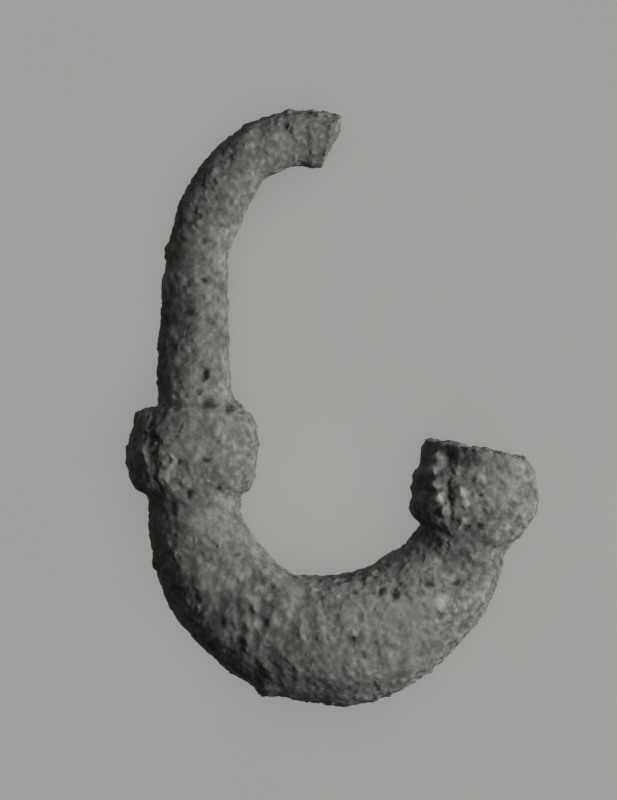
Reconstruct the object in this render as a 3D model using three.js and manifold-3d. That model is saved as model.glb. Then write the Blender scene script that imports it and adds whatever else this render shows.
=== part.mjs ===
// Fibula brooch, a broken one: a cast bronze bow of lunate outline with a barrel
// collar at one end, a squared end block at the other, and the arm that runs on
// from the collar and curls over. The spring, pin and catch are lost, and the two
// ends are breaks. It is one casting, so it is one solid.
//
// Millimetres, +Z up. The brooch lies on its side on the plane Z = 0, with the
// arm along +Y and the opening of the bow towards +X. The origin is under the
// middle of its outline.

import * as THREE from "three";
import { ParametricGeometry } from "three/addons/geometries/ParametricGeometry.js";
import { mergeVertices } from "three/addons/utils/BufferGeometryUtils.js";
import Module from "manifold-3d";

// ---- Driving dimensions, in mm and degrees ----

// Where the parts sit
const BOW_CENTRE = { x: -0.33, y: -8.53 }; // centre of the bow's spine arc
const MID_HEIGHT = 5.0; // height of the casting's middle plane over the table

// Bow: a circular spine, thick in the middle and thinner at both ends
const BOW_RADIUS = 12.22;
const BOW_FROM = -90; // heading where it leaves the collar
const BOW_TO = 75; // heading where it meets the block
const BOW_WIDTH_COLLAR = 8.3;
const BOW_WIDTH_MIDDLE = 11.8;
const BOW_WIDTH_BLOCK = 8.2;
const BOW_SKEW = 1.3; // puts the thickest place a little past the middle
const BOW_DEPTH_SHARE = 0.9; // depth across the brooch over width in its plane
const BOW_SQUARE = 2.15; // 2 is an ellipse, more is squarer

// Collar: a barrel bead at the arm's foot
const COLLAR_LENGTH = 7.85;
const COLLAR_TOP_Y = 0.15; // its upper edge, measured from the origin
const COLLAR_WIDTH = 11.8;
const COLLAR_SHIFT = -0.15; // its middle, off the spine, away from the opening
const COLLAR_EDGE_WIDTH = 10.3;
const COLLAR_DEPTH = 10.3;
const COLLAR_SQUARE = 2.9;

// Block: the squared head where the spring stood, broken off flat
const BLOCK_LENGTH = 7.95;
const BLOCK_SHIFT = 0.4; // its middle, off the spine, away from the opening
const BLOCK_HEADING = 78;
const BLOCK_WIDTH = 11.3;
const BLOCK_EDGE_WIDTH = 9.7;
const BLOCK_TOP_WIDTH = 9.2;
const BLOCK_DEPTH = 10.3;
const BLOCK_SQUARE = 2.7;

// Arm: tapers, and curls ever more tightly towards its broken tip
const ARM_LENGTH = 31.55;
const ARM_START = { x: -12.44, y: 0.25 };
const ARM_LEAN = 2.1; // at the collar, away from the opening
const ARM_TURN = 113.2; // in all
const ARM_CURL = 2.62; // power of the distance from the collar
const ARM_WIDTH_COLLAR = 6.6;
const ARM_WIDTH_TIP = 4.9;
const ARM_DEPTH_SHARE = 0.94;
const ARM_SQUARE = 2.2;

const SHOULDER = 0.45; // length of the slope on each bead's two flanks

// Fineness of the faceting
const SIDES = 24;
const ARM_RINGS = 34;
const BEAD_RINGS = 8;
const BOW_RINGS = 46;

// ---- Spine and sections ----

const rad = THREE.MathUtils.degToRad;
const lerp = THREE.MathUtils.lerp;
const rings = []; // from the arm's tip to the block's end
const ring = (x, y, heading, width, depth, square) =>
  rings.push({ x, y, heading, a: width / 2, b: depth / 2, square });

// A bead's width swells from its edges to its middle, at share t of its length.
const barrel = (t, edge, middle) =>
  middle - (middle - edge) * Math.abs(2 * t - 1) ** 3;

// Arm, worked out from its foot by adding up short steps along its heading
const armHeading = (d) =>
  90 + ARM_LEAN - ARM_TURN * (d / ARM_LENGTH) ** ARM_CURL;
const arm = [];
{
  const FINE = 20;
  const step = ARM_LENGTH / (ARM_RINGS * FINE);
  let { x, y } = ARM_START;
  for (let i = 0; i <= ARM_RINGS * FINE; i++) {
    const d = i * step;
    if (i % FINE === 0) arm.push({ x, y, d });
    const h = rad(armHeading(d + step / 2));
    x += Math.cos(h) * step;
    y += Math.sin(h) * step;
  }
}
for (const p of arm.reverse()) {
  const w = lerp(ARM_WIDTH_COLLAR, ARM_WIDTH_TIP, p.d / ARM_LENGTH);
  ring(p.x, p.y, armHeading(p.d) + 180, w, w * ARM_DEPTH_SHARE, ARM_SQUARE);
}

// Collar, straight down from the arm to the bow
const collarX = (t) =>
  lerp(ARM_START.x, BOW_CENTRE.x - BOW_RADIUS, t) + COLLAR_SHIFT;
for (let i = 0; i <= BEAD_RINGS; i++) {
  const t = i / BEAD_RINGS;
  const y =
    COLLAR_TOP_Y - SHOULDER - t * (COLLAR_LENGTH - 2 * SHOULDER);
  const w = barrel(t, COLLAR_EDGE_WIDTH, COLLAR_WIDTH);
  ring(
    collarX(t), y, -90, w,
    barrel(t, COLLAR_DEPTH - 0.9, COLLAR_DEPTH), COLLAR_SQUARE,
  );
}

// Bow
ring(
  BOW_CENTRE.x - BOW_RADIUS, COLLAR_TOP_Y - COLLAR_LENGTH, -90,
  BOW_WIDTH_COLLAR, BOW_WIDTH_COLLAR * BOW_DEPTH_SHARE, BOW_SQUARE,
);
for (let i = 0; i <= BOW_RINGS; i++) {
  const t = i / BOW_RINGS;
  const h = lerp(BOW_FROM, BOW_TO, t);
  const w =
    lerp(BOW_WIDTH_COLLAR, BOW_WIDTH_BLOCK, t) +
    (BOW_WIDTH_MIDDLE - (BOW_WIDTH_COLLAR + BOW_WIDTH_BLOCK) / 2) *
      Math.sin(Math.PI * t ** BOW_SKEW);
  ring(
    BOW_CENTRE.x + BOW_RADIUS * Math.sin(rad(h)),
    BOW_CENTRE.y - BOW_RADIUS * Math.cos(rad(h)),
    h, w, w * BOW_DEPTH_SHARE, BOW_SQUARE,
  );
}

// Block, straight on from the bow's end
{
  const end = rings[rings.length - 1];
  const ux = Math.cos(rad(BLOCK_HEADING)), uy = Math.sin(rad(BLOCK_HEADING));
  for (let i = 0; i <= BEAD_RINGS; i++) {
    const t = i / BEAD_RINGS;
    const along = SHOULDER + t * (BLOCK_LENGTH - SHOULDER);
    const edge = t < 0.5 ? BLOCK_EDGE_WIDTH : BLOCK_TOP_WIDTH;
    ring(
      end.x + ux * along + uy * BLOCK_SHIFT,
      end.y + uy * along - ux * BLOCK_SHIFT, BLOCK_HEADING,
      barrel(t, edge, BLOCK_WIDTH),
      barrel(t, BLOCK_DEPTH - 0.9, BLOCK_DEPTH), BLOCK_SQUARE,
    );
  }
}

// A superellipse across the spine. The first and last stacks close on the
// spine itself, which makes the two broken end faces.
const power = (v, n) => Math.sign(v) * Math.abs(v) ** (2 / n);
const stacks = rings.length + 1;
function surface(u, v, target) {
  const k = Math.round(v * stacks) - 1;
  const closing = k < 0 || k >= rings.length;
  const r = rings[THREE.MathUtils.clamp(k, 0, rings.length - 1)];
  const t = u >= 1 ? 0 : u * 2 * Math.PI;
  const across = closing ? 0 : r.a * power(Math.cos(t), r.square);
  const up = closing ? 0 : r.b * power(Math.sin(t), r.square);
  const h = rad(r.heading);
  target.set(
    r.x - Math.sin(h) * across,
    r.y + Math.cos(h) * across,
    MID_HEIGHT + up,
  );
}

// ---- Solids ----

const wasm = await Module();
wasm.setup();

function solidOf(geometry) {
  const bare = geometry.clone();
  for (const name of ["normal", "uv"]) bare.deleteAttribute(name);
  const merged = mergeVertices(bare, 1e-4);
  const index = merged.index.array;
  const kept = [];
  for (let i = 0; i < index.length; i += 3) {
    const [p, q, r] = index.slice(i, i + 3);
    if (p !== q && q !== r && r !== p) kept.push(p, q, r);
  }
  return new wasm.Manifold(
    new wasm.Mesh({
      numProp: 3,
      vertProperties: new Float32Array(merged.attributes.position.array),
      triVerts: new Uint32Array(kept),
    }),
  );
}

function geometryOf(solid) {
  const m = solid.getMesh();
  const g = new THREE.BufferGeometry();
  g.setAttribute("position", new THREE.BufferAttribute(m.vertProperties, 3));
  g.setIndex(new THREE.BufferAttribute(m.triVerts, 1));
  g.computeVertexNormals();
  return g;
}

// The underside is worn flat where the thickest places lie on the table.
const casting = solidOf(new ParametricGeometry(surface, SIDES, stacks));
const table = solidOf(new THREE.BoxGeometry(100, 100, 10).translate(0, 0, -5));
const lying = casting.subtract(table);

// ---- Scene graph ----

const patina = new THREE.MeshStandardMaterial({
  name: "bronze_patina",
  color: new THREE.Color(0.29, 0.3, 0.27),
  roughness: 0.85,
  metalness: 0.1,
});

const fibula = new THREE.Group();
fibula.name = "fibula";

const bow = new THREE.Mesh(geometryOf(lying), patina);
bow.name = "fibula_bow";
fibula.add(bow);

export default fibula;
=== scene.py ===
"""The broken bow fibula as it lies: one corroded bronze casting on a pale floor, seen from straight above.

The casting is lofted along its spine from the same named sizes as the solid, rounded into one skin, and then its crust of
corrosion is raised on that skin as real relief: lumps, grains, creases, pits, crumbled edges and two rough breaks. The
lengths below are in millimetres until the mesh is written, in metres.
"""

import math
from itertools import product

import bpy
import numpy as np
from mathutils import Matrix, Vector
from mathutils.kdtree import KDTree


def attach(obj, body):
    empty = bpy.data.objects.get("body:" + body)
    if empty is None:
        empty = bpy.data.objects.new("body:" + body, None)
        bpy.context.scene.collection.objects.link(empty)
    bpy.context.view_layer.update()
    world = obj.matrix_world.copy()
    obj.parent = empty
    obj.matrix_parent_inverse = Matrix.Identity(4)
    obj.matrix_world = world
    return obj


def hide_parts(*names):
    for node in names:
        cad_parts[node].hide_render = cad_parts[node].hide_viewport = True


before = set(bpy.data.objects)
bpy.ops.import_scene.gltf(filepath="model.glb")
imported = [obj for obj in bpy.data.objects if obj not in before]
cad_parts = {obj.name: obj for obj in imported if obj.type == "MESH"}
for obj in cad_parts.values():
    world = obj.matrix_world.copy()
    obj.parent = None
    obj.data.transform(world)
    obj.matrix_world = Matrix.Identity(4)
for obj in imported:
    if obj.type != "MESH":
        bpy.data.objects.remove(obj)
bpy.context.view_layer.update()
scene = bpy.context.scene

# ---- Sizes of the casting ----

BOW_CENTRE = (-0.33, -8.53)
MID_HEIGHT = 5.0
BOW_RADIUS = 12.22
BOW_FROM, BOW_TO = -90.0, 75.0
BOW_WIDTH_COLLAR, BOW_WIDTH_MIDDLE, BOW_WIDTH_BLOCK = 8.3, 11.8, 8.2
BOW_SKEW = 1.3
BOW_DEPTH_SHARE = 0.9
BOW_SQUARE = 2.15

COLLAR_LENGTH = 7.85
COLLAR_TOP_Y = 0.15
COLLAR_WIDTH, COLLAR_EDGE_WIDTH = 11.7, 10.3
COLLAR_SHIFT = -0.15
COLLAR_DEPTH = 10.3
COLLAR_SQUARE = 2.7

BLOCK_LENGTH = 8.15
BLOCK_SHIFT = 0.4
BLOCK_HEADING = 78.0
BLOCK_INNER, BLOCK_INNER_FOOT, BLOCK_INNER_TOP = 5.75, 4.3, 5.45  # from its middle line
BLOCK_OUTER, BLOCK_OUTER_FOOT, BLOCK_OUTER_TOP = 5.7, 4.1, 3.6
BLOCK_SWELL = 0.42  # where its outer side stands out most
BLOCK_DEPTH = 10.3
BLOCK_SQUARE = 2.8

ARM_LENGTH = 31.55
ARM_START = (-12.44, 0.25)
ARM_LEAN, ARM_TURN, ARM_CURL = 2.1, 113.2, 2.62
ARM_WIDTH_COLLAR, ARM_WIDTH_TIP = 6.6, 4.9
ARM_DEPTH_SHARE = 0.94
ARM_SQUARE = 2.2

# Worn flats on the upper face: where they start and end along the spine, measured from the tip, the side that they fall to
# (1 is the opening's), how far from the middle line they start, and how steeply they fall
BLOCK_FROM = 80.5  # a little way up the block
FLATS = [
    (BLOCK_FROM, 99.0, 1, 1.1, 0.68),
    (BLOCK_FROM, 99.0, 1, 3.3, 1.7),
    (18.5, 28.5, -1, 0.35, 0.44),
    (7.5, 20.5, -1, 0.95, 0.58),
]
FLAT_FADE = 2.0
FLAT_ROUND = 0.5

SHOULDER = 0.4  # slope on the beads' flanks
SOFTEN = 0.16  # rounding of the outline's corners along the spine
SOFTEN_DEPTH = 1.35  # the same across the brooch, where the beads merge into the rest

# ---- Fineness ----

STEP = 0.12  # between sections
SIDES = 220
VOXEL = 0.1
MOST_TRIANGLES = 194000

# ---- Marks on this one brooch, placed on a sheet with 0.09 mm to each unit ----

UNIT = 0.09
SHEET_MIDDLE = (333.5, 408.0)
LENS = 135.0
FRAME = (617, 800)  # of the picture, in units at the casting's middle plane
EYE = FRAME[1] * UNIT * LENS / 36.0  # how far above that plane the camera stands

# Swellings and losses of the outline: place, reach and height outwards, in units
OUTLINE = [
    # arm
    (338, 131, 13, 4.0), (312, 166, 9, 3.0), (307, 108, 9, -3.2), (288, 111, 3, 2.2), (268, 180, 10, -3.2), (258, 191, 7, -1.4), (247, 122, 10, 2.2),
    (205, 185, 20, -1.0), (172, 223, 11, -1.6), (238, 225, 8, 1.6), (231, 255, 22, -3.6), (163, 266, 11, -2.0), (163, 249, 6, 3.6),
    (158, 312, 20, -2.6), (228, 305, 9, 2.2), (232, 330, 16, 1.4), (231, 371, 9, 1.4), (156, 375, 12, 1.6), (239, 400, 8, 7.0),
    # collar
    (130, 426, 10, -3.4), (127, 460, 9, 1.8), (133, 490, 8, -1.2), (250, 408, 8, -3.0), (256, 465, 10, -1.6),
    (251, 491, 9, 2.6),
    # bow
    (146, 507, 9, -2.6), (151, 557, 10, -1.2), (154, 563, 6, 3.2), (163, 600, 14, 1.6), (177, 621, 15, 2.2), (211, 657, 11, -1.8),
    (243, 678, 9, 1.0), (265, 693, 11, 6.6), (318, 705, 14, -2.6), (345, 705, 16, 2.6), (372, 701, 10, 1.8), (455, 647, 27, -6.6), (471, 629, 10, -1.2),
    (250, 533, 13, 3.2), (266, 549, 7, 1.6), (275, 560, 10, -1.0), (294, 571, 16, -6.6), (319, 574, 9, -2.2), (342, 573, 14, -1.8),
    (363, 565, 9, -2.2), (386, 556, 8, 2.0), (400, 545, 11, -2.6),
    # block
    (413, 527, 8, -3.4), (410, 499, 10, -4.2), (416, 460, 8, -3.4), (413, 474, 4, 2.2), (411, 487, 3.5, 1.6), (411, 504, 4, 1.2), (430, 440, 8, -3.2), (450, 443, 11, 3.0),
    (488, 450, 17, 3.4), (505, 452, 8, 1.8), (520, 459, 13, 3.2), (535, 470, 7, 2.4), (536, 484, 7, -0.8), (537, 502, 9, 1.8), (531, 524, 7, -1.8), (511, 546, 7, -1.8),
]
LUMP_TALL = 3.4  # how far they reach up and down, and how far their middles are staggered
LUMP_STAGGER = 1.1
# Pits, each with painted shade in it: place, radius and depth, in units
PITS = [
    (203, 281, 2.8, 3.0), (206, 373, 5.6, 4.0), (202, 376, 4.0, 2.4), (208, 403, 6.0, 1.8), (219, 490, 3.2, 2.4),
    (380, 592, 3.6, 2.2), (393, 593, 4.4, 2.6), (217, 546, 1.5, 2.4), (479, 496, 2.0, 2.0),
    (190, 313, 4.0, 1.2), (354, 640, 4.6, 1.4), (189, 495, 3.6, 1.8), (228, 406, 4.0, 1.4),
    (206, 461, 3.0, 1.4), (180, 464, 3.2, 1.6), (480, 527, 3.0, 1.8), (455, 583, 4.0, 1.6), (428, 584, 3.4, 1.6),
]
# Soft creases, each with painted shade along it: from, to, half-breadth and depth, in units
CREASES = [
    (153, 413, 151, 440, 6.0, 1.6), (151, 440, 157, 490, 6.0, 1.6), (228, 407, 240, 411, 2.8, 2.2),
    (240, 411, 254, 421, 2.6, 1.8), (447, 442, 448, 460, 4.6, 2.6), (449, 480, 447, 500, 4.4, 2.2), (449, 504, 452, 522, 4.0, 2.0),
    (236, 606, 243, 630, 4.0, 1.0), (271, 583, 272, 606, 3.6, 0.9), (253, 576, 250, 592, 3.6, 0.7),
    (291, 630, 296, 648, 5.0, 0.9), (262, 616, 261, 634, 3.6, 0.7), (222, 584, 231, 604, 4.5, 0.8),
    (372, 592, 398, 594, 3.6, 0.8), (330, 572, 362, 578, 3.6, 0.7),
]
# Pale mineral patches, and on the block's shaded left flank pale crumbs that are partly painted highlight: place,
# radius, strength and height, in units
BLOOM_AND_HIGHLIGHT = [
    # The crumbs at 432 to 444 across, on the block's shaded left flank, are pale partly from mineral and partly as
    # painted highlight where they catch the light
    (440, 602, 8.5, 1.0, 1.0), (462, 494, 7, 1.0, 2.0), (465, 504, 5, 0.9, 1.2), (438, 498, 6.0, 1.0, 4.8),
    (439, 457, 6.0, 0.9, 5.0), (432, 471, 6.0, 0.95, 5.0), (439, 466, 7.0, 0.5, 3.6), (436, 484, 6.0, 0.4, 3.0),
    (463, 520, 4.5, 0.7, 1.6), (444, 511, 6.5, 0.15, 3.4), (507, 528, 4, 0.6, 0.6), (480, 476, 5, 0.5, 0.8),
    (515, 485, 5, 0.4, 0.5), (163, 477, 7, 0.75, 1.4), (224, 437, 3.5, 0.7, 0.6), (154, 443, 2.5, 0.7, 1.2),
    (144, 450, 6, 0.25, 3.2), (199, 442, 5, 0.4, 0.6), (173, 397, 2.5, 0.6, 1.2), (196, 539, 2.5, 0.6, 0.6),
    (456, 611, 2.5, 0.6, 0.4), (363, 626, 6, 0.4, 0.4), (476, 498, 5, 0.45, 0.6), (420, 546, 5, 0.4, 0.8),
    (430, 560, 7, 0.3, 0.8),
]
# Broad paler and darker parts, and painted shade on the block's shaded left flank: place, reach in units, and strength
TONES_AND_SHADE = [
    (360, 615, 60, 0.28), (410, 595, 45, 0.2), (395, 566, 25, 0.3), (200, 450, 55, 0.15), (190, 320, 60, -0.2),
    (220, 540, 50, 0.16), (270, 625, 45, 0.17), (475, 575, 30, -0.12), (164, 423, 17, -0.44), (165, 463, 15, 0.34), (168, 277, 15, 0.42), (220, 195, 20, 0.2),
    # The darkenings at 419 to 440 across are painted shade on the block's left flank, which faces away from the light
    (250, 135, 42, 0.25), (419, 482, 13, -0.34), (424, 457, 11, -0.3), (426, 512, 11, -0.3), (440, 444, 10, -0.3), (534, 494, 16, -0.2),
]
# Narrow ones across the lower left of the bow: from, to, half-breadth in units, and strength
STREAKS = [
    (254, 572, 252, 585, 3.5, -0.4), (271, 586, 272, 606, 5.0, -0.5), (238, 607, 241, 626, 5.0, -0.5), (219, 595, 219, 604, 3.5, -0.25),
    (282, 633, 296, 645, 6.0, -0.46), (317, 635, 316, 647, 4.0, -0.1), (305, 579, 306, 598, 4.0, -0.3), (328, 578, 329, 586, 5.0, -0.26),
    (331, 602, 331, 610, 4.0, -0.24), (266, 616, 266, 629, 3.5, -0.38), (273, 655, 277, 661, 8.0, -0.46), (243, 581, 245, 589, 3.5, -0.24),
    (208, 621, 212, 631, 5.0, -0.24), (284, 609, 282, 619, 3.5, -0.24), (247, 644, 250, 650, 4.0, -0.22), (296, 679, 312, 682, 5.0, -0.2),
    (205, 572, 208, 591, 5.0, 0.24), (217, 605, 222, 615, 4.0, 0.26), (294, 600, 294, 611, 4.0, 0.24), (297, 614, 300, 624, 5.5, 0.4), (305, 624, 306, 637, 4.5, -0.3),
    (254, 633, 257, 622, 3.5, 0.24), (308, 638, 308, 644, 4.0, 0.22), (317, 691, 322, 695, 4.5, 0.24),
]
# Where the skin has crumbled: place and reach, in units
CRUMBLED = [(335, 576, 26), (385, 575, 30), (430, 572, 34), (470, 560, 28)]


def on_sheet(px, py):
    return np.array([(px - SHEET_MIDDLE[0]) * UNIT, (SHEET_MIDDLE[1] - py) * UNIT])


# ---- Noise, the same on every run ----


def scrambled(i, j, k, seed):
    """A 32-bit number for each cell of a lattice."""
    h = (
        i.astype(np.uint32) * np.uint32(374761393)
        + j.astype(np.uint32) * np.uint32(668265263)
        + k.astype(np.uint32) * np.uint32(2246822519)
        + np.uint32((seed * 3266489917 + 97) % 2**32)
    )
    h = (h ^ (h >> np.uint32(15))) * np.uint32(2654435761)
    h = (h ^ (h >> np.uint32(13))) * np.uint32(1274126177)
    return h ^ (h >> np.uint32(16))


def thirds(h):
    """Three numbers from 0 to 1 out of each 32-bit one."""
    return [((h >> np.uint32(s)) & np.uint32(1023)).astype(np.float64) / 1023 for s in (0, 10, 20)]


def noise(p, seed):
    """Smooth noise, about -1 to 1, with one swell or hollow to each unit of p."""
    q = np.floor(p).astype(np.int64)
    f = p - q
    w = f * f * f * (f * (f * 6 - 15) + 10)
    out = np.zeros(len(p))
    for corner in product((0, 1), repeat=3):
        g = thirds(scrambled(*(q[:, a] + corner[a] for a in range(3)), seed))
        slope = sum((2 * g[a] - 1) * (f[:, a] - corner[a]) for a in range(3))
        out += slope * np.prod([w[:, a] if corner[a] else 1 - w[:, a] for a in range(3)], axis=0)
    return 1.5 * out


def layered(p, seed, octaves, gain=0.5):
    return sum(gain**o * noise(p * 2.03**o + 7.3 * o, seed + 31 * o) for o in range(octaves))


def cells(p, seed, jitter=0.95):
    """Distances to the nearest and the second nearest of scattered points, about one to each unit cube, and two numbers from
    0 to 1 that belong to the nearest."""
    q = np.floor(p).astype(np.int64)
    near = np.full(len(p), 9.0)
    second = np.full(len(p), 9.0)
    own = np.zeros(len(p), np.uint32)
    for offset in product((-1, 0, 1), repeat=3):
        c = [q[:, a] + offset[a] for a in range(3)]
        h = scrambled(*c, seed)
        g = thirds(h)
        d = sum((c[a] + 0.5 + jitter * (g[a] - 0.5) - p[:, a]) ** 2 for a in range(3))
        first = d < near
        second = np.where(first, near, np.minimum(second, d))
        near = np.where(first, d, near)
        own = np.where(first, h, own)
    u = thirds(scrambled(own, own, own, seed + 5))
    return np.sqrt(near), np.sqrt(second), u[0], u[1]


def step_up(lo, hi, v):
    t = np.clip((v - lo) / (hi - lo), 0, 1)
    return t * t * (3 - 2 * t)


# ---- The casting's smooth body ----


def spine():
    """Sections from the arm's tip to the block's end, one row each: x, y, heading, inner and outer half-width, half-depth,
    squareness."""
    rows = []

    def barrel(t, edge, middle):
        return middle - (middle - edge) * abs(2 * t - 1) ** 3

    n = round(ARM_LENGTH / STEP)
    fine = 12
    d = (np.arange(n * fine) + 0.5) * ARM_LENGTH / (n * fine)
    h = np.radians(90 + ARM_LEAN - ARM_TURN * (d / ARM_LENGTH) ** ARM_CURL)
    x = ARM_START[0] + np.concatenate([[0], np.cumsum(np.cos(h))]) * ARM_LENGTH / (n * fine)
    y = ARM_START[1] + np.concatenate([[0], np.cumsum(np.sin(h))]) * ARM_LENGTH / (n * fine)
    for i in range(n, -1, -1):
        t = i / n
        w = ARM_WIDTH_COLLAR + (ARM_WIDTH_TIP - ARM_WIDTH_COLLAR) * t
        heading = 90 + ARM_LEAN - ARM_TURN * t**ARM_CURL + 180
        rows.append((x[i * fine], y[i * fine], heading, w / 2, w / 2, w / 2 * ARM_DEPTH_SHARE, ARM_SQUARE))

    n = round((COLLAR_LENGTH - 2 * SHOULDER) / STEP)
    for i in range(n + 1):
        t = i / n
        rows.append((
            ARM_START[0] + (BOW_CENTRE[0] - BOW_RADIUS - ARM_START[0]) * t + COLLAR_SHIFT,
            COLLAR_TOP_Y - SHOULDER - t * (COLLAR_LENGTH - 2 * SHOULDER),
            270.0,
            barrel(t, COLLAR_EDGE_WIDTH, COLLAR_WIDTH) / 2,
            barrel(t, COLLAR_EDGE_WIDTH, COLLAR_WIDTH) / 2,
            COLLAR_DEPTH / 2,
            COLLAR_SQUARE,
        ))

    foot = COLLAR_TOP_Y - COLLAR_LENGTH
    n = round((foot - BOW_CENTRE[1]) / STEP)
    for i in range(n):
        rows.append((
            BOW_CENTRE[0] - BOW_RADIUS, foot + (BOW_CENTRE[1] - foot) * i / n, 270.0,
            BOW_WIDTH_COLLAR / 2, BOW_WIDTH_COLLAR / 2, BOW_WIDTH_COLLAR / 2 * BOW_DEPTH_SHARE, BOW_SQUARE,
        ))
    n = round(math.radians(BOW_TO - BOW_FROM) * BOW_RADIUS / STEP)
    for i in range(n + 1):
        t = i / n
        h = BOW_FROM + (BOW_TO - BOW_FROM) * t
        w = BOW_WIDTH_COLLAR + (BOW_WIDTH_BLOCK - BOW_WIDTH_COLLAR) * t
        w += (BOW_WIDTH_MIDDLE - (BOW_WIDTH_COLLAR + BOW_WIDTH_BLOCK) / 2) * math.sin(math.pi * t**BOW_SKEW)
        rows.append((
            BOW_CENTRE[0] + BOW_RADIUS * math.sin(math.radians(h)),
            BOW_CENTRE[1] - BOW_RADIUS * math.cos(math.radians(h)),
            h + 360, w / 2, w / 2, w / 2 * BOW_DEPTH_SHARE, BOW_SQUARE,
        ))

    ex, ey = rows[-1][:2]
    ux, uy = math.cos(math.radians(BLOCK_HEADING)), math.sin(math.radians(BLOCK_HEADING))
    n = round((BLOCK_LENGTH - SHOULDER) / STEP)
    for i in range(n + 1):
        t = i / n
        along = SHOULDER + t * (BLOCK_LENGTH - SHOULDER)
        rows.append((
            ex + ux * along + uy * BLOCK_SHIFT, ey + uy * along - ux * BLOCK_SHIFT, BLOCK_HEADING + 360,
            BLOCK_INNER
            - (BLOCK_INNER - BLOCK_INNER_FOOT) * max(0.0, 1 - t / 0.3) ** 3
            - (BLOCK_INNER - BLOCK_INNER_TOP) * max(0.0, 2 * t - 1) ** 2,
            BLOCK_OUTER
            - (BLOCK_OUTER - BLOCK_OUTER_FOOT) * max(0.0, 1 - t / BLOCK_SWELL) ** 2
            - (BLOCK_OUTER - BLOCK_OUTER_TOP) * max(0.0, (t - BLOCK_SWELL) / (1 - BLOCK_SWELL)) ** 3,
            BLOCK_DEPTH / 2, BLOCK_SQUARE,
        ))

    rows = np.array(rows)
    # Even steps, then the profile's corners are rounded a little.
    run = np.concatenate([[0], np.cumsum(np.hypot(*np.diff(rows[:, :2], axis=0).T))])
    even = np.arange(0, run[-1], STEP)
    rows = np.stack([np.interp(even, run, rows[:, k]) for k in range(7)], axis=1)
    for k, width in ((2, SOFTEN), (3, SOFTEN), (4, SOFTEN), (5, SOFTEN_DEPTH), (6, SOFTEN_DEPTH)):
        reach = int(3 * width / STEP) + 1
        bell = np.exp(-0.5 * (np.arange(-reach, reach + 1) * STEP / width) ** 2)
        rows[:, k] = np.convolve(np.pad(rows[:, k], reach, "edge"), bell / bell.sum(), "valid")
    return rows


SPINE = spine()


def loft(rows):
    """A closed tube of superellipse sections, capped flat at both ends."""
    t = np.linspace(0, 2 * np.pi, SIDES, endpoint=False)
    h = np.radians(rows[:, 2])[:, None]
    power = 2 / rows[:, 6][:, None]
    half = np.where(np.cos(t) > 0, rows[:, 3][:, None], rows[:, 4][:, None])
    across = half * np.sign(np.cos(t)) * np.abs(np.cos(t)) ** power
    up = rows[:, 5][:, None] * np.sign(np.sin(t)) * np.abs(np.sin(t)) ** power
    run = np.arange(len(rows)) * STEP
    for start, end, side, ridge, fall in FLATS:
        onto = step_up(start, start + FLAT_FADE, run) * step_up(end, end - FLAT_FADE, run)
        slope = np.maximum(rows[:, 5][:, None] - fall * (side * across - ridge), 0.3)
        keep = np.clip(0.5 + 0.5 * (slope - up) / FLAT_ROUND, 0, 1)
        planed = slope + keep * (up - slope) - FLAT_ROUND * keep * (1 - keep)
        up = np.where(up > 0, up + onto[:, None] * np.minimum(planed - up, 0), up)
    p = np.stack([
        rows[:, 0][:, None] - np.sin(h) * across, rows[:, 1][:, None] + np.cos(h) * across, MID_HEIGHT + up,
    ], axis=2).reshape(-1, 3)
    n = len(rows)
    a = np.arange(n - 1)[:, None] * SIDES + np.arange(SIDES)
    b = np.arange(n - 1)[:, None] * SIDES + (np.arange(SIDES) + 1) % SIDES
    faces = np.stack([a, b, b + SIDES, a + SIDES], axis=2).reshape(-1, 4).tolist()
    faces.append(list(range(SIDES))[::-1])
    faces.append(list(range((n - 1) * SIDES, n * SIDES)))
    me = bpy.data.meshes.new("body")
    me.from_pydata(p.tolist(), [], faces)
    me.update()
    return me


def reworked(me, name, kind, **settings):
    """The mesh after one modifier."""
    ob = bpy.data.objects.new(name, me)
    scene.collection.objects.link(ob)
    mod = ob.modifiers.new(name, kind)
    for key, value in settings.items():
        setattr(mod, key, value)
    dg = bpy.context.evaluated_depsgraph_get()
    out = bpy.data.meshes.new_from_object(ob.evaluated_get(dg))
    bpy.data.objects.remove(ob)
    bpy.data.meshes.remove(me)
    return out


def places(me):
    out = np.empty(len(me.vertices) * 3, np.float32)
    me.vertices.foreach_get("co", out)
    return out.reshape(-1, 3).astype(np.float64)


def normals(me):
    out = np.empty(len(me.vertices) * 3, np.float32)
    me.vertex_normals.foreach_get("vector", out)
    return out.reshape(-1, 3).astype(np.float64)


# ---- Relief of the crust ----

def seen(p):
    """Where each place stands on the sheet, as seen from above the sheet's middle."""
    m = on_sheet(FRAME[0] / 2, FRAME[1] / 2)
    return m + (p[:, :2] - m) * (EYE / (EYE - p[:, 2] + MID_HEIGHT))[:, None]


def along_sheet(p, x0, y0, x1, y1):
    """Distance from a line on the sheet, in units."""
    a, b = on_sheet(x0, y0), on_sheet(x1, y1)
    v = p - a
    t = np.clip(v @ (b - a) / ((b - a) @ (b - a)), 0, 1)
    return np.hypot(*(v - t[:, None] * (b - a)).T) / UNIT


def near_sheet(p, px, py, reach):
    """1 at a place of the sheet, falling to 0 around it."""
    x, y = on_sheet(px, py)
    d2 = (p[:, 0] - x) ** 2 + (p[:, 1] - y) ** 2
    return np.exp(-d2 / (reach * UNIT) ** 2)


def crumbs(p, size, seed, share):
    """Scattered rounded crumbs, 0 to 1 high."""
    near, _, tall, there = cells(p / size, seed)
    return np.clip(1 - (near / (0.42 + 0.22 * tall)) ** 2, 0, 1) * (0.35 + 0.65 * tall) * (there < share)


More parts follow.
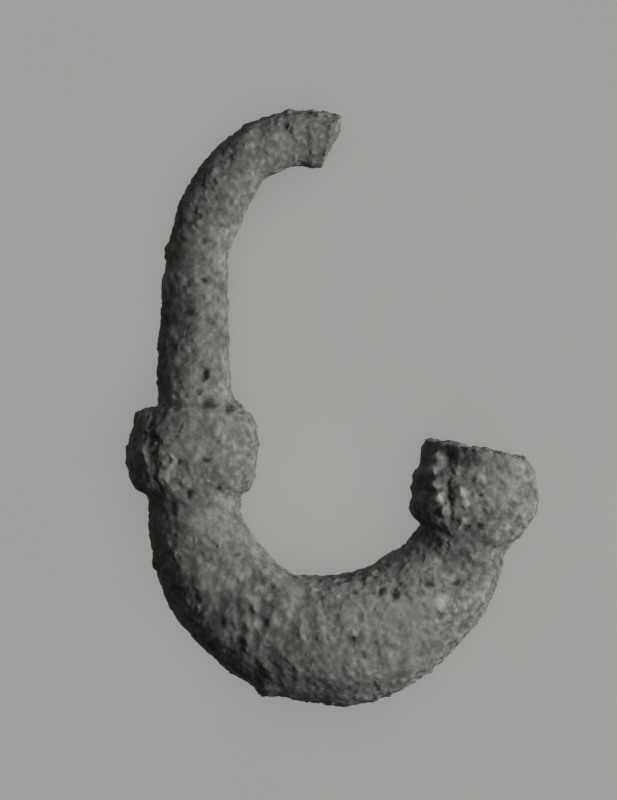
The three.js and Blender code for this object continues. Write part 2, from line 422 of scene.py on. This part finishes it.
def crust(p, n):
    """How far the skin stands out at each place, in mm, the crust's own part of that, the shares there of painted shade
    in the hollows and pits, of pale bloom with some painted highlight and of stain with painted shade, and the tone,
    with some painted shade, where a half is the common one."""
    top = step_up(-0.75, 0.05, n[:, 2])  # the side it lies on is plainer
    upper = step_up(-0.1, 0.35, n[:, 2])
    wander = np.stack([noise(p / 0.8, s) + 0.5 * noise(p / 0.33, s + 3) for s in (11, 12, 13)], axis=1)
    q = p + 0.16 * wander
    at = seen(p)

    # Crumbs of three sizes on an uneven skin, thicker in some places than in others
    rough = np.clip(0.8 + 0.6 * noise(p / 2.8, 24), 0.35, 1.3)
    fine = 0.07 * noise(q / 0.75, 5) + 0.045 * noise(q / 0.38, 6)
    for size, high, share, seed in ((0.95, 0.15, 0.55, 21), (0.6, 0.12, 0.7, 22), (0.36, 0.065, 0.7, 23)):
        fine += high * (crumbs(q, size, seed, share) - 0.2)
    flank = step_up(0.65, 0.2, np.abs(n[:, 2]))
    fine *= 0.72 * rough * (1 + 0.45 * flank)

    # Scattered pits
    near, _, wide, deep = cells(q / 1.6, 26)
    pit = step_up(0.28, 0.05, near / (0.35 + 0.8 * wide)) * (deep > 0.6)
    fine -= 0.12 * pit * wide

    # Long hollows across the lower left of the bow, and a crumbled band along its inner edge
    fibres = near_sheet(at, 262, 615, 62) * step_up(0.0, 0.6, n[:, 2])
    wave = noise(np.stack([q[:, 0] / 0.95 + 0.22 * q[:, 1], q[:, 1] / 2.0, q[:, 2] / 1.1], axis=1), 41)
    fine += fibres * (0.2 * wave + 0.1 * noise(q / 1.15, 43))
    band = np.clip(sum(near_sheet(at, px, py, reach) for px, py, reach in CRUMBLED), 0, 1) * upper
    crumbled = step_up(0.05, 0.6, noise(q / 0.7, 51) + 0.5 * noise(q / 0.3, 52)) * band
    fine -= 0.045 * crumbled

    fine *= 0.25 + 0.75 * top
    out = 0.12 * layered(p / 4.2, 1, 3) + 0.09 * noise(p / 1.5, 4) + fine
    # Painted shade: darker in the hollows between the crumbs and in the pits
    hollow_shade = np.clip(step_up(0.0, -0.13, fine) + 0.5 * pit, 0, 1)
    bloom_and_highlight = np.zeros(len(p))
    # Painted shade in the hollows of the fibres, and darker where the skin has crumbled
    stain_and_shade = np.maximum(0.42 * fibres * step_up(-0.05, -0.5, wave), 0.42 * crumbled)
    # Tone, with painted shade on the block's left flank
    tone = sum(share * near_sheet(at, px, py, reach) for px, py, reach, share in TONES_AND_SHADE)

    for i, (px, py, reach, height) in enumerate(OUTLINE):
        level = MID_HEIGHT + LUMP_STAGGER * math.sin(2.4 * i)
        out += UNIT * height * near_sheet(at, px, py, reach) * np.exp(-(((p[:, 2] - level) / LUMP_TALL) ** 2))
    dented = seen(p + 0.26 * wander)
    for px, py, radius, depth in PITS:
        bowl = near_sheet(dented, px, py, radius) * upper
        out -= UNIT * depth * bowl
        # Painted shade in each pit
        stain_and_shade = np.maximum(stain_and_shade, np.clip(1.2 * bowl, 0, 1))
    bent = seen(p + 0.42 * wander)
    for x0, y0, x1, y1, breadth, depth in CREASES:
        cut = np.exp(-((along_sheet(bent, x0, y0, x1, y1) / breadth) ** 2)) * upper
        out -= UNIT * depth * cut
        # Painted shade along each crease
        stain_and_shade = np.maximum(stain_and_shade, 0.35 * cut)
    for x0, y0, x1, y1, breadth, share in STREAKS:
        line = np.exp(-((along_sheet(dented, x0, y0, x1, y1) / breadth) ** 2)) * upper
        tone = tone + share * line
        stain_and_shade = np.maximum(stain_and_shade, -0.95 * share * line)
    grown = seen(q)
    for px, py, radius, share, height in BLOOM_AND_HIGHLIGHT:
        d = np.hypot(*(grown - on_sheet(px, py)).T) / (radius * UNIT)
        patch = step_up(1.3, 0.2, d) * upper
        out += UNIT * height * patch
        # Paleness of the patches, partly painted highlight on the crumbs of the block's shaded flank
        bloom_and_highlight = np.maximum(bloom_and_highlight, patch * share)

    # The two breaks are rough and a little hollow.
    for end, sign in ((0, 1.0), (-1, -1.0)):
        row = SPINE[end]
        h = math.radians(row[2])
        away = -sign * np.array([math.cos(h), math.sin(h), 0.0])
        off = (p - np.array([row[0], row[1], MID_HEIGHT])) @ away
        face = step_up(0.45, 0.85, n @ away) * step_up(-0.6, -0.2, off)
        shard = 0.20 * layered(p / 1.5, 61 + end, 3) + 0.09 * noise(p / 0.45, 66)
        out += face * (shard - 0.10)
    return out, fine, hollow_shade, bloom_and_highlight, stain_and_shade, np.clip(0.5 + tone, 0, 1)


# ---- Build ----

body = loft(SPINE)
body = reworked(body, "skin", "REMESH", mode="VOXEL", voxel_size=VOXEL, adaptivity=0.0)
body = reworked(body, "soften", "SMOOTH", factor=0.5, iterations=4)

p = places(body)
n = normals(body)
height, fine, hollow_shade, bloom_and_highlight, stain_and_shade, tone = crust(p, n)
relief = p + n * height[:, None]
relief[:, 2] = np.maximum(relief[:, 2], 0.0)

body.vertices.foreach_set("co", relief.astype(np.float32).ravel())
body.update()
triangles = sum(len(f.vertices) - 2 for f in body.polygons)
body = reworked(
    body, "thin", "DECIMATE", decimate_type="COLLAPSE", ratio=min(1.0, MOST_TRIANGLES / triangles), use_collapse_triangulate=True,
)

# What the finish reads: the crust's height, its painted shade in hollows, its blooms with some painted highlight, its
# stains with painted shade and its tone with some painted shade, carried over from the nearest place.
tree = KDTree(len(relief))
for i, v in enumerate(relief):
    tree.insert(v, i)
tree.balance()
q = places(body)
q[:, 2] = np.maximum(q[:, 2], 0.0)
back = np.array([tree.find(v)[1] for v in q])
body.vertices.foreach_set("co", (q * 0.001).astype(np.float32).ravel())
for name, values in {
    "height": np.clip(0.5 + fine / 0.5, 0, 1), "hollow_shade": hollow_shade, "bloom_and_highlight": bloom_and_highlight, "stain_and_shade": stain_and_shade, "tone": tone,
}.items():
    layer = body.attributes.new(name, "FLOAT", "POINT")
    layer.data.foreach_set("value", values[back].astype(np.float32))
for f in body.polygons:
    f.use_smooth = True
body.update()
body.validate()


def unrolled(me, smooth):
    """Lays the skin out flat, from each vertex's place on the smooth body: the tube in two strips, cut along its underside, and
    the two breaks beside them. All lengths are in mm until the end."""
    steps = np.abs(np.diff(SPINE[:, 3:6], axis=0)).max(1)
    length = np.concatenate([[0], np.cumsum(np.hypot(STEP, steps))])
    find = KDTree(len(SPINE))
    for i, row in enumerate(SPINE):
        find.insert((row[0], row[1], 0.0), i)
    find.balance()
    row = np.array([find.find((x, y, 0.0))[1] for x, y in smooth[:, :2]])
    h = np.radians(SPINE[row, 2])
    v = smooth[:, :2] - SPINE[row, :2]
    ahead = v[:, 0] * np.cos(h) + v[:, 1] * np.sin(h)
    across = v[:, 1] * np.cos(h) - v[:, 0] * np.sin(h)
    along = np.interp(row * STEP + ahead, np.arange(len(SPINE)) * STEP, length)
    turn = np.arctan2(-across, MID_HEIGHT - smooth[:, 2]) / (2 * np.pi) + 0.5

    corner = np.empty(len(me.loops), np.int32)
    me.loops.foreach_get("vertex_index", corner)
    face = corner.reshape(-1, 3)
    split = length[np.argmin(np.abs(SPINE[:, 1] - (COLLAR_TOP_Y - COLLAR_LENGTH)) + 99 * (SPINE[:, 0] > -8))]
    mean = along[face].mean(1)
    second = mean > split
    side = turn[face]
    side = side - np.round(side - side[:, :1])
    side -= np.floor(side.mean(1))[:, None]
    uv = np.stack([along[face] - np.where(second, split, 0)[:, None], STRIP * (0.03 + 0.94 * side) + STRIP * second[:, None]], axis=2)

    a, b, c = (smooth[face[:, k]] for k in range(3))
    normal = np.cross(b - a, c - a)
    normal /= np.linalg.norm(normal, axis=1)[:, None] + 1e-12
    for end, sign, level in ((0, -1.0, 0.0), (-1, 1.0, STRIP)):
        hh = math.radians(SPINE[end][2])
        beyond = (smooth[face].mean(1)[:, :2] - SPINE[end][:2]) @ np.array([math.cos(hh), math.sin(hh)]) * sign
        facing = (normal[:, :2] @ np.array([math.cos(hh), math.sin(hh)])) * sign
        cap = (beyond > -0.45) & (facing > 0.6)
        flat = np.stack([ROLL - CAP / 2 + across[face[cap]], level + STRIP / 2 + smooth[face[cap], 2] - MID_HEIGHT], axis=2)
        uv[cap] = flat
    uv = (uv.reshape(-1, 2) + 0.6) / np.array([ROLL + 1.2, 2 * STRIP + 1.2])
    layer = me.uv_layers.new(name="OFBake")
    layer.uv.foreach_set("vector", uv.astype(np.float32).ravel())


STRIP = 36.0  # the breadth that the skin's girth is laid out to
CAP = 12.6  # room for a break
ROLL = 48.5 + CAP
weights = np.zeros((len(q), 3))
three = np.zeros((len(q), 3), np.int64)
for i, v in enumerate(q):
    for k, (_, index, d) in enumerate(tree.find_n(v, 3)):
        three[i, k], weights[i, k] = index, 1 / (d + 1e-4)
smooth = (p[three] * (weights / weights.sum(1)[:, None])[:, :, None]).sum(1)
unrolled(body, smooth)

brooch = bpy.data.objects.new("fibula_casting", body)
body.name = "fibula_casting"
scene.collection.objects.link(brooch)
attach(brooch, "root")
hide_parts("fibula_bow")

# ---- Finish ----


class Tree:
    """Short ways to add and join nodes."""

    def __init__(self, owner):
        owner.use_nodes = True
        self.nodes, self.links = owner.node_tree.nodes, owner.node_tree.links
        self.nodes.clear()

    def add(self, kind, inputs=None, **settings):
        node = self.nodes.new(kind)
        for key, value in settings.items():
            setattr(node, key, value)
        for key, value in (inputs or {}).items():
            if isinstance(value, bpy.types.NodeSocket):
                self.links.new(value, node.inputs[key])
            else:
                node.inputs[key].default_value = value
        return node

    def noise(self, vector, scale, detail=2.0, rough=0.5):
        return self.add("ShaderNodeTexNoise", {"Vector": vector, "Scale": scale, "Detail": detail, "Roughness": rough}).outputs["Fac"]

    def span(self, value, lo, hi, to_lo, to_hi):
        return self.add(
            "ShaderNodeMapRange", {"Value": value, "From Min": lo, "From Max": hi, "To Min": to_lo, "To Max": to_hi},
            interpolation_type="SMOOTHSTEP",
        ).outputs["Result"]

    def maths(self, operation, a, b):
        return self.add("ShaderNodeMath", {0: a, 1: b}, operation=operation).outputs[0]

    def mix(self, share, a, b, blend="MIX"):
        node = self.add("ShaderNodeMix", data_type="RGBA", blend_type=blend)
        for socket, value in zip((node.inputs[0], node.inputs[6], node.inputs[7]), (share, a, b)):
            if isinstance(value, bpy.types.NodeSocket):
                self.links.new(value, socket)
            else:
                socket.default_value = value
        return node.outputs[2]

    def share(self, name):
        return self.add("ShaderNodeAttribute", attribute_name=name, attribute_type="GEOMETRY").outputs["Fac"]


def grey(v):
    """A grey with a faint olive cast."""
    return (v, v * 1.01, v * 0.93, 1.0)


def patina():
    m = bpy.data.materials.new("bronze_patina")
    t = Tree(m)
    at = t.add("ShaderNodeTexCoord").outputs["Object"]
    mottle = t.noise(at, 420.0, 2.0, 0.5)
    patch = t.noise(at, 1350.0, 2.0, 0.5)
    grain = t.noise(at, 2600.0, 3.0, 0.6)
    speck = t.noise(at, 6500.0, 2.0, 0.6)

    colour = t.mix(t.span(mottle, 0.35, 0.65, 0.0, 1.0), grey(0.155), grey(0.235))
    colour = t.mix(t.span(patch, 0.52, 0.33, 0.0, 0.62), colour, grey(0.08))
    colour = t.mix(t.span(patch, 0.54, 0.68, 0.0, 0.52), colour, grey(0.34))
    colour = t.mix(t.span(t.share("height"), 0.45, 0.85, 0.0, 0.5), colour, grey(0.30))
    colour = t.mix(t.span(grain, 0.50, 0.30, 0.0, 0.3), colour, grey(0.07))
    colour = t.mix(t.span(speck, 0.60, 0.76, 0.0, 0.35), colour, grey(0.36))
    # Paler and darker parts, with painted shade on the block's left flank
    colour = t.mix(t.span(t.share("tone"), 0.5, 1.0, 0.0, 0.6), colour, grey(0.36))
    colour = t.mix(t.span(t.share("tone"), 0.5, 0.0, 0.0, 0.6), colour, grey(0.06))
    # Painted shade in the hollows and pits
    colour = t.mix(t.maths("MULTIPLY", t.share("hollow_shade"), 0.5), colour, grey(0.05))
    # Pale blooms, partly painted highlight on the crumbs of the block's shaded flank
    colour = t.mix(t.maths("MULTIPLY", t.share("bloom_and_highlight"), 0.8), colour, grey(0.46))
    # Dark stains, with painted shade in pits, creases and hollows
    colour = t.mix(t.maths("MULTIPLY", t.share("stain_and_shade"), 0.85), colour, grey(0.02))

    rough = t.span(grain, 0.3, 0.7, 0.95, 0.74)
    fine = t.maths("ADD", t.maths("MULTIPLY", grain, 0.7), t.maths("MULTIPLY", speck, 0.3))
    bump = t.add("ShaderNodeBump", {"Strength": 0.35, "Distance": 0.00005, "Height": fine}).outputs["Normal"]
    surface = t.add("ShaderNodeBsdfPrincipled", {
        "Base Color": colour, "Roughness": rough, "Normal": bump, "Metallic": 0.0, "Specular IOR Level": 0.04,
    }).outputs["BSDF"]
    t.add("ShaderNodeOutputMaterial", {"Surface": surface})
    return m


body.materials.clear()
body.materials.append(patina())

# ---- Floor, light and camera ----


def floor():
    m = bpy.data.materials.new("floor")
    t = Tree(m)
    at = t.add("ShaderNodeTexCoord").outputs["Object"]
    tone = t.span(t.noise(at, 45.0, 3.0), 0.3, 0.7, 0.0, 1.0)
    colour = t.mix(tone, (0.58, 0.587, 0.56, 1.0), (0.61, 0.617, 0.59, 1.0))
    surface = t.add("ShaderNodeBsdfPrincipled", {"Base Color": colour, "Roughness": 0.95, "Specular IOR Level": 0.1}).outputs["BSDF"]
    t.add("ShaderNodeOutputMaterial", {"Surface": surface})
    me = bpy.data.meshes.new("floor")
    me.from_pydata([(-3, -3, -2e-5), (3, -3, -2e-5), (3, 3, -2e-5), (-3, 3, -2e-5)], [], [(0, 1, 2, 3)])
    me.materials.append(m)
    ob = bpy.data.objects.new("floor", me)
    ob.visible_diffuse = False
    scene.collection.objects.link(ob)
    return ob


def only_on(light, *objects):
    """The light falls on these objects alone."""
    group = bpy.data.collections.new(light.name)
    for ob in objects:
        group.objects.link(ob)
    light.light_linking.receiver_collection = group


def sun(name, strength, softness, azimuth, elevation):
    """Light from that side: azimuth 0 is from +X and 90 from +Y."""
    data = bpy.data.lights.new(name, "SUN")
    data.energy = strength
    data.angle = math.radians(softness)
    ob = bpy.data.objects.new(name, data)
    a, e = math.radians(azimuth), math.radians(elevation)
    towards = -Vector((math.cos(e) * math.cos(a), math.cos(e) * math.sin(a), math.sin(e)))
    ob.rotation_euler = towards.to_track_quat("-Z", "Y").to_euler()
    scene.collection.objects.link(ob)
    return ob


ground = floor()


def lamp(name, power, size, distance, azimuth, elevation):
    """A square soft light that faces the brooch's middle."""
    data = bpy.data.lights.new(name, "AREA")
    data.energy = power
    data.size = size
    ob = bpy.data.objects.new(name, data)
    a, e = math.radians(azimuth), math.radians(elevation)
    away = Vector((math.cos(e) * math.cos(a), math.cos(e) * math.sin(a), math.sin(e)))
    ob.location = distance * away + Vector((0, 0, MID_HEIGHT * 0.001))
    ob.rotation_euler = (-away).to_track_quat("-Z", "Y").to_euler()
    ob.visible_camera = False
    scene.collection.objects.link(ob)
    return ob


only_on(lamp("key", 1.59, 0.17, 0.35, 6, 31), brooch)
only_on(sun("fill", 0.23, 60, 95, 35), brooch)
only_on(sun("floor_light", 0.42, 90, 0, 90), ground)
flat = sun("floor_wash", 1.38, 20, 0, 90)
flat.data.use_shadow = False
only_on(flat, ground)

# Weak light from all round, most of it from below, as off a pale floor; to the camera the far distance is as pale as the floor.
world = bpy.data.worlds.new("studio")
t = Tree(world)
towards = t.add("ShaderNodeTexCoord").outputs["Generated"]
rise = t.add("ShaderNodeSeparateXYZ", {"Vector": towards}).outputs["Z"]
weak = t.add("ShaderNodeBackground", {"Color": (1.0, 1.0, 0.98, 1.0), "Strength": t.span(rise, -0.4, 0.3, 0.2, 0.02)}).outputs[0]
pale = t.add("ShaderNodeBackground", {"Color": (0.355, 0.36, 0.342, 1.0), "Strength": 1.0}).outputs[0]
seen = t.add("ShaderNodeLightPath").outputs["Is Camera Ray"]
t.add("ShaderNodeOutputWorld", {"Surface": t.add("ShaderNodeMixShader", {0: seen, 1: weak, 2: pale}).outputs[0]})
scene.world = world

camera = bpy.data.cameras.new("camera")
camera.lens = LENS
camera.sensor_width = 36.0
camera.clip_start = 0.01
eye = bpy.data.objects.new("camera", camera)
middle = on_sheet(FRAME[0] / 2, FRAME[1] / 2)
eye.location = (middle[0] * 0.001, middle[1] * 0.001, (MID_HEIGHT + EYE) * 0.001)
scene.collection.objects.link(eye)
scene.camera = eye

scene.view_settings.view_transform = "Standard"
scene.view_settings.look = "None"
